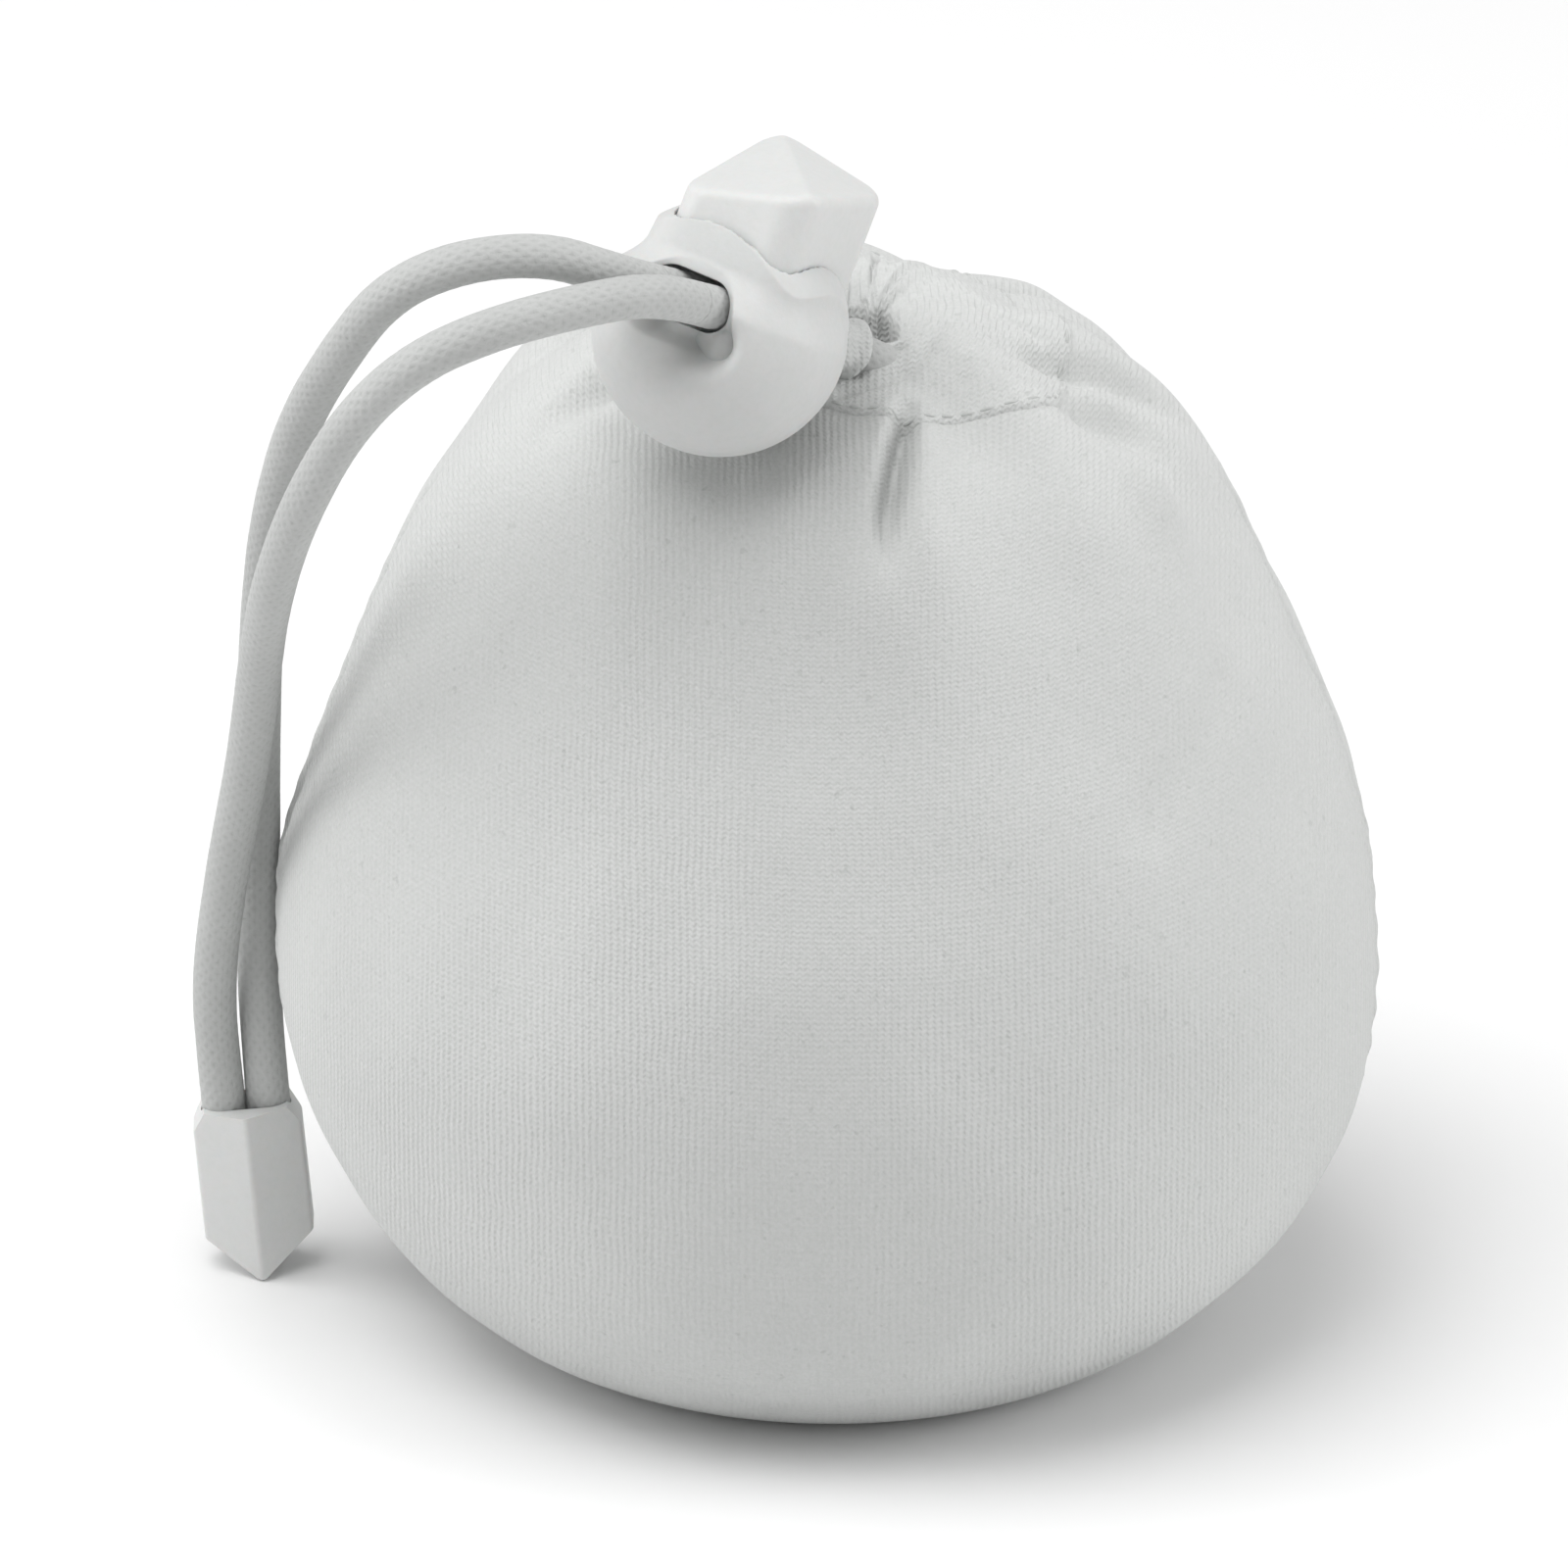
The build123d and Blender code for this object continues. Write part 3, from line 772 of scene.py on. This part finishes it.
def cloth_piece(name, places, material, thickness, closed_base=False):
    """Shell of cloth from a grid of places."""
    rows, columns = places.shape[:2]
    vertices = places.reshape(-1, 3)
    faces = grid_faces(rows, columns)
    if closed_base:
        faces.append(list(range(columns))[::-1])
    uv = knit_corners(places, faces)
    piece = mesh_object(name, vertices, faces, material, uv)
    solid = piece.modifiers.new("cloth", "SOLIDIFY")
    solid.thickness = thickness * MM
    solid.offset = -1
    return piece


pouch_body = cloth_piece("pouch_body", body_places, pouch_cloth, POUCH_CLOTH, closed_base=True)
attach(pouch_body, "pouch")
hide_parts("front_panel", "back_panel")

# ---------------------------------------------------------------- fill and seam allowance
SEAM_TOP = 65.0
FILL_INSET = 3.7
FILL_BOTTOM = 1.2
FILL_EVERY = 4
FIRST_ROW = 3
# Corners of the seam allowance's section: depth below the cloth's face, and place across the seam.
SEAM_SECTION = ((0.95, -0.6), (0.95, 0.6), (3.4, 0.6), (3.4, -0.6))
SEAM_BOTTOM = 3
body_normals = surface_normals(*np.moveaxis(body_places, 2, 0))
low_rows = [row for row in range(FIRST_ROW, len(body_places)) if body_places[row, :, 2].max() < SEAM_TOP]
fill_rows = low_rows[::FILL_EVERY]
fill_places = (body_places - FILL_INSET * body_normals)[fill_rows][:, ::FILL_EVERY]
fill_places[:, :, 2] = np.maximum(fill_places[:, :, 2], FILL_BOTTOM)
fill_columns = fill_places.shape[1]
fill_faces = grid_faces(len(fill_rows), fill_columns)
fill_faces.append(list(range(fill_columns))[::-1])
fill_faces.append([(len(fill_rows) - 1) * fill_columns + k for k in range(fill_columns)])
herb_fill = mesh_object("herb_fill", fill_places.reshape(-1, 3), fill_faces, herb_look)
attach(herb_fill, "pouch")
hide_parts("fill")

seam_vertices, seam_faces = [], []
wall_only = [row for row in low_rows if body_places[row, 0, 2] > SEAM_BOTTOM]
for column, side in ((0, 1), (COLUMNS // 2, -1)):
    first = len(seam_vertices)
    for row in wall_only:
        place, normal = body_places[row, column], body_normals[row, column]
        for depth, across in SEAM_SECTION:
            seam_vertices.append(place - normal * depth + np.array([0, side * across, 0]))
    seam_faces += [[first + i for i in face] for face in grid_faces(len(wall_only), len(SEAM_SECTION))]
    last = first + len(SEAM_SECTION) * (len(wall_only) - 1)
    seam_faces += [[first + 3, first + 2, first + 1, first], [last, last + 1, last + 2, last + 3]]
seam_uv = [(0.0, 0.0)] * sum(len(face) for face in seam_faces)
seam_piece = mesh_object("seam_allowance", seam_vertices, seam_faces, seam_cloth, seam_uv, smooth=False)
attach(seam_piece, "pouch")
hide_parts("side_seam")

# ---------------------------------------------------------------- gathered hem
HEM_ROWS = 64
HEM_TWIST = 0.10
HEM_LUMPS = 0.10
MOUTH_BOTTOM = 69.5
HEM_FOLD_HEIGHT = 70.0
SLOPE_STEP = 0.1
start_z = crown_z[-1]


def pleats(angle, sharpness):
    """Depth of the fine gathers round the mouth, 1 in a valley."""
    depth = np.zeros(angle.shape)
    for index, azimuth in enumerate(FINE_PLEATS):
        width = sharpness * (1 + 0.35 * sin(index * 2.7))
        weight = 0.75 + 0.35 * sin(index * 4.1 + 1)
        depth = np.maximum(depth, weight * np.exp(-((turn_from(angle, azimuth) / width) ** 2)))
    return depth


def near(azimuth, width):
    """1 at an azimuth from the mouth, falling off to both sides."""
    return np.exp(-((turn_from(angles, azimuth) / width) ** 2))


# Where the hem differs round the mouth: the far tuft, the smooth lobe on the right, and the casing's roll.
tuft = near(68, 24)
lobe = near(-8, 50)
roll = near(-75, 38)
valley = pleats(angles, PLEAT_WIDTH) * (1 - 0.97 * near(5, 58)) * (1 - 0.85 * roll)
crest_reach = 7.2 - 0.9 * tuft + 0.6 * lobe - 0.3 * valley
crest_z = 76.5 + 0.8 * tuft + 0.1 * lobe - 0.55 * valley - 0.2 * near(-121, 30)
lip_reach = 3.9 + 1.1 * roll - 1.2 * tuft - 1.5 * near(5, 50) - 0.3 * valley
# Distance from the mouth and height of each control row, from the stitch line over the crest and inside.
control = [
    (stitch + 0.25, start_z - 0.35),
    (stitch + 0.1, start_z + 0.35),
    (stitch * 0.9 + crest_reach * 0.1, start_z + 0.75 - 0.3 * valley),
    (stitch * 0.45 + crest_reach * 0.55, start_z * 0.42 + crest_z * 0.58 + 0.3 - 0.4 * valley - 0.6 * roll),
    (crest_reach, crest_z),
    (crest_reach * 0.45 + lip_reach * 0.55, crest_z - 0.35 + 0.1 * lobe - 0.2 * valley),
    (lip_reach, crest_z - 1.9 + 0.6 * lobe),
    (lip_reach * 0.9, crest_z - 3.8),
    (lip_reach * 0.8, np.full(COLUMNS, MOUTH_BOTTOM)),
]


def spline_columns(points, rows):
    """Catmull-Rom curve through the control places of every column at once."""
    padded = [points[0]] + points + [points[-1]]
    spans = len(points) - 1
    out = []
    for row in range(rows):
        at = row / (rows - 1) * spans
        span = min(int(at), spans - 1)
        t = at - span
        p0, p1, p2, p3 = (np.array(padded[span + k]) for k in range(4))
        bend = (2 * p0 - 5 * p1 + 4 * p2 - p3) * t**2 + (3 * p1 - p0 - 3 * p2 + p3) * t**3
        out.append(0.5 * (2 * p1 + (p2 - p0) * t + bend))
    return np.array(out)


hem_lines = spline_columns(control, HEM_ROWS)
hem_reach, hem_z = hem_lines[:, 0, :], hem_lines[:, 1, :]
twist = HEM_TWIST * np.sin(3 * angles) * np.linspace(0, 1, HEM_ROWS)[:, None]
hem_x = MOUTH.x + hem_reach * np.cos(angles + twist)
hem_y = hem_reach * np.sin(angles + twist)
hem_places = np.stack([hem_x, hem_y, hem_z], 2)
hem_normals = surface_normals(hem_x, hem_y, hem_z)
bumps = np.array([noise.noise(Vector(p) * 0.75) for p in hem_places.reshape(-1, 3)])
hem_places = hem_places + hem_normals * (HEM_LUMPS * bumps).reshape(hem_x.shape)[:, :, None]
from_axis = np.hypot(hem_x, hem_y)
fall = (crown_height(from_axis + SLOPE_STEP) - crown_height(from_axis - SLOPE_STEP)) / (2 * SLOPE_STEP)
crown_normals = np.stack([-fall * hem_x / from_axis, -fall * hem_y / from_axis, np.ones(hem_x.shape)], 2)
crown_normals /= np.linalg.norm(crown_normals, axis=2)[:, :, None]
outer_part = smooth_step(0, 1, (hem_reach - lip_reach) / (crest_reach - lip_reach))
flat_hem = (hem_x.ravel(), hem_y.ravel(), np.full(hem_x.size, HEM_FOLD_HEIGHT))
hem_relief = fold_relief(*flat_hem) + body_sway(hem_x.ravel(), hem_y.ravel(), hem_z.ravel())
for points, width, depth in HEM_MARKS:
    far, _ = line_distance(hem_x.ravel(), hem_y.ravel(), points)
    hem_relief -= depth * np.exp(-((far / width) ** 2))
pressed = near_lock(hem_x, hem_y)
hem_relief = hem_relief.reshape(hem_x.shape)
hem_relief = hem_relief * (1 - LOCK_CALM * pressed) - LOCK_PRESS * pressed
hem_places = hem_places + crown_normals * (hem_relief * outer_part)[:, :, None]
hem_piece = cloth_piece("hem_gather", hem_places, hem_cloth, HEM_CLOTH)
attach(hem_piece, "pouch")
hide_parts("hem_casing")

# ---------------------------------------------------------------- sleeves where the cords leave the hem
SLEEVE_RADIUS = 1.88
SLEEVE_COLUMNS = 56
SLEEVE_STEP = 0.2
# Where each sleeve starts and ends, from the middle of the lock along the cord.
SLEEVE_SPAN = (9.2, 13.8)
# Height of the sleeve's rucks and of its three soft lobes, its flare inside the hem, the room it leaves
# round the cord at its end, and the height of its small lumps.
RUCK_HEIGHT = 0.09
LOBE_HEIGHT = 0.10
SLEEVE_FLARE = 0.25
CORD_ROOM = 0.12
SLEEVE_LUMPS = 0.16


def sleeve(name, line, material):
    """Gathered end of the casing round one cord, from inside the hem towards the lock."""
    _, first, second = frames_along(line)
    count = len(line)
    turn = np.linspace(0, tau, SLEEVE_COLUMNS, endpoint=False)
    along = np.linspace(0, 1, count)
    reach = passed_along(line)
    ruck = RUCK_HEIGHT * np.sin(reach * 3.1 + 0.9 * np.sin(reach * 1.3))
    radius = (SLEEVE_RADIUS + ruck)[:, None] + LOBE_HEIGHT * np.sin(3 * turn + 2 * reach[:, None] / 3)
    radius = radius + SLEEVE_FLARE * (1 - smooth_step(0, 0.45, along))[:, None]
    mouth_end = smooth_step(0.93, 1.0, along)[:, None]
    radius = radius * (1 - mouth_end) + (CORD_DIAMETER / 2 + CORD_ROOM) * mouth_end
    ring = rings(first, second, turn)
    places = line[:, None, :] + ring * radius[:, :, None]
    bumpy = np.array([noise.noise(Vector(p) * 0.8) for p in places.reshape(-1, 3)]).reshape(radius.shape)
    places = places + ring * (SLEEVE_LUMPS * bumpy * (1 - mouth_end))[:, :, None]
    faces = grid_faces(count, SLEEVE_COLUMNS)
    return mesh_object(name, places.reshape(-1, 3), faces, material, knit_corners(places, faces))


loop_line, _ = centreline("loop_route", loop_points, SLEEVE_STEP)
for name, line in (("hem_sleeve_left", loop_line), ("hem_sleeve_right", loop_line[::-1])):
    reach = passed_along(line)
    covered = (reach > NECK_END + SLEEVE_SPAN[0]) & (reach < NECK_END + SLEEVE_SPAN[1])
    piece = sleeve(name, line[covered][::-1], hem_cloth)
    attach(piece, "pouch")

# ---------------------------------------------------------------- hem stitches
STITCHES = 64
STITCH_ROW = 11
STITCH_STEPS = 7
THREAD_SIDES = 8
THREAD_RADIUS = 0.12
STITCH_RISE = 0.14
STITCH_DIP = 0.12


def stitch_run(name, places, normals_at, material):
    """Short raised stitches along a closed line of places."""
    count = len(places)
    vertices, faces = [], []
    for index in range(STITCHES):
        start = int((index + 0.16) / STITCHES * count) % count
        end = int((index + 0.84) / STITCHES * count) % count
        ends = np.array([places[start], places[end]])
        halfway = (start + int(0.34 / STITCHES * count)) % count
        middle, normal = places[halfway], normals_at[halfway]
        low_start = ends[0] - normal * STITCH_DIP
        top = middle + normal * STITCH_RISE
        low_end = ends[1] - normal * STITCH_DIP
        side = np.cross(ends[1] - ends[0], normal)
        side /= np.linalg.norm(side)
        first = len(vertices)
        for t in np.linspace(0, 1, STITCH_STEPS):
            place = (1 - t) ** 2 * low_start + 2 * t * (1 - t) * top + t * t * low_end
            for k in range(THREAD_SIDES):
                turned = k * tau / THREAD_SIDES
                vertices.append(place + THREAD_RADIUS * (side * cos(turned) + normal * sin(turned)))
        faces += [[first + i for i in face] for face in grid_faces(STITCH_STEPS, THREAD_SIDES)]
        last = first + (STITCH_STEPS - 1) * THREAD_SIDES
        faces.append([first + k for k in range(THREAD_SIDES)][::-1])
        faces.append([last + k for k in range(THREAD_SIDES)])
    uv = [(0.0, 0.0)] * sum(len(face) for face in faces)
    return mesh_object(name, vertices, faces, material, uv)


hem_face = surface_normals(*np.moveaxis(hem_places, 2, 0))
thread = stitch_run("hem_thread", hem_places[STITCH_ROW], hem_face[STITCH_ROW], thread_look)
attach(thread, "pouch")
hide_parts("hem_stitching")


# ---------------------------------------------------------------- lock
MOULD_VOXEL = 0.14
MOULD_ROUNDS = 8
MOULD_EASE = 0.5
WELD_DISTANCE = 1e-6


def moulded_copy(name, node, material):
    """Moulding that stands for a CAD node, with its edges eased as a mould leaves them."""
    mesh = nodes[node].data.copy()
    mesh.name = name
    mesh.materials.clear()
    mesh.materials.append(material)
    piece = bpy.data.objects.new(name, mesh)
    scene.collection.objects.link(piece)
    weld = bmesh.new()
    weld.from_mesh(mesh)
    bmesh.ops.remove_doubles(weld, verts=weld.verts, dist=WELD_DISTANCE)
    weld.to_mesh(mesh)
    weld.free()
    remesh = piece.modifiers.new("remesh", "REMESH")
    remesh.mode = "VOXEL"
    remesh.voxel_size = MOULD_VOXEL * MM
    remesh.use_smooth_shade = True
    ease = piece.modifiers.new("ease", "SMOOTH")
    ease.factor = MOULD_EASE
    ease.iterations = MOULD_ROUNDS
    bpy.context.view_layer.update()
    shaped = bpy.data.meshes.new_from_object(piece.evaluated_get(bpy.context.evaluated_depsgraph_get()))
    piece.modifiers.clear()
    piece.data = shaped
    shaped.name = name
    shaped.polygons.foreach_set("use_smooth", [True] * len(shaped.polygons))
    return piece


barrel = moulded_copy("lock_barrel_moulding", "lock_barrel", lock_look)
# Scoops that widen the cord hole's front lip: (across, rise, half width, depth).
LIP_SCOOPS = [(3.0, -0.7, 1.35, 3.6), (3.2, -1.0, 2.6, 1.3), (-0.4, -1.6, 2.6, 0.9)]
# Depth on the ball's front, along the hole, over which the scoops fade in.
SCOOP_START = (5.8, 7.8)
# Half sizes of the button's head, its middle, and the wall the ball keeps round it.
HEAD_HALF = (5.2, 5.8)
HEAD_MIDDLE = (-0.6, 0.6)
HEAD_WALL = 1.0
# Rise over which the ball is drawn in to the head, and how much of its overhang goes.
DRAWN_IN = (1.2, 4.6)
DRAWN_SHARE = 0.85
for vertex in barrel.data.vertices:
    local = vertex.co / MM - LOCK_CENTER
    along, across, rise = local.dot(lock_x), local.dot(lock_y), local.dot(lock_z)
    off = Vector((along - HEAD_MIDDLE[0], across - HEAD_MIDDLE[1]))
    wide, deep = abs(off.x) / (HEAD_HALF[0] + HEAD_WALL), abs(off.y) / (HEAD_HALF[1] + HEAD_WALL)
    square = (wide**4 + deep**4) ** 0.25
    if square > 1 and rise > DRAWN_IN[0]:
        eased = 1 + (square - 1) * (1 - DRAWN_SHARE * float(smooth_step(*DRAWN_IN, rise)))
        off = off * (eased / square - 1)
        vertex.co += (lock_x * off.x + lock_y * off.y) * MM
    inward = 0.0
    for middle, height, width, depth in LIP_SCOOPS:
        inward += depth * np.exp(-((across - middle) ** 2 + (rise - height) ** 2) / width**2)
    inward *= float(smooth_step(*SCOOP_START, along))
    vertex.co -= lock_x * float(inward) * MM
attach(barrel, "lock")
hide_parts("lock_barrel")
button = moulded_copy("lock_button_moulding", "lock_plunger", button_look)
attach(button, "button")
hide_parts("lock_plunger")

# ---------------------------------------------------------------- carried-over nodes
for node, look in (
    ("end_bell", bell_look),
    ("end_knot", cord_look),
    ("lock_spring", spring_look),
):
    nodes[node].data.materials.clear()
    nodes[node].data.materials.append(look)

# ---------------------------------------------------------------- floor and light
floor_look = Graph("floor_paper", (0.9, 0.9, 0.9))
floor_place = floor_look.coordinates("Object")
floor_tone = floor_look.ramp(
    floor_look.noise(floor_place, 8, 2), (0.3, (0.87, 0.87, 0.87)), (0.7, (0.89, 0.89, 0.89))
)
floor_look.finish(floor_tone, None, 0.9)
floor_mesh = bpy.data.meshes.new("floor")
FLOOR_HALF = 6.0
floor_corners = [(x * FLOOR_HALF, y * FLOOR_HALF, 0) for x, y in ((-1, -1), (1, -1), (1, 1), (-1, 1))]
floor_mesh.from_pydata(floor_corners, [], [(0, 1, 2, 3)])
floor_mesh.materials.append(floor_look.material)
floor = bpy.data.objects.new("floor", floor_mesh)
scene.collection.objects.link(floor)

SKY_STRENGTH = 0.38
world = bpy.data.worlds.new("studio")
world.use_nodes = True
sky = world.node_tree.nodes["Background"]
sky.inputs["Color"].default_value = (1, 1, 1, 1)
sky.inputs["Strength"].default_value = SKY_STRENGTH
scene.world = world
scene.view_settings.view_transform = "Standard"


LIGHT_AIM = Vector((0, 0, 0.04))


def soft_light(name, place, size, power):
    """Square area light aimed at the ball, in metres and watts."""
    data = bpy.data.lights.new(name, "AREA")
    data.shape = "SQUARE"
    data.size = size
    data.energy = power
    lamp = bpy.data.objects.new(name, data)
    lamp.location = place
    lamp.rotation_mode = "QUATERNION"
    lamp.rotation_quaternion = (LIGHT_AIM - Vector(place)).to_track_quat("-Z", "Y")
    scene.collection.objects.link(lamp)


soft_light("key", (-0.19, -0.15, 0.86), 0.80, 7.0)
soft_light("right_fill", (0.8, -0.05, 0.30), 0.5, 2.9)
soft_light("left_rim", (-0.8, 0.10, 0.28), 0.5, 2.1)
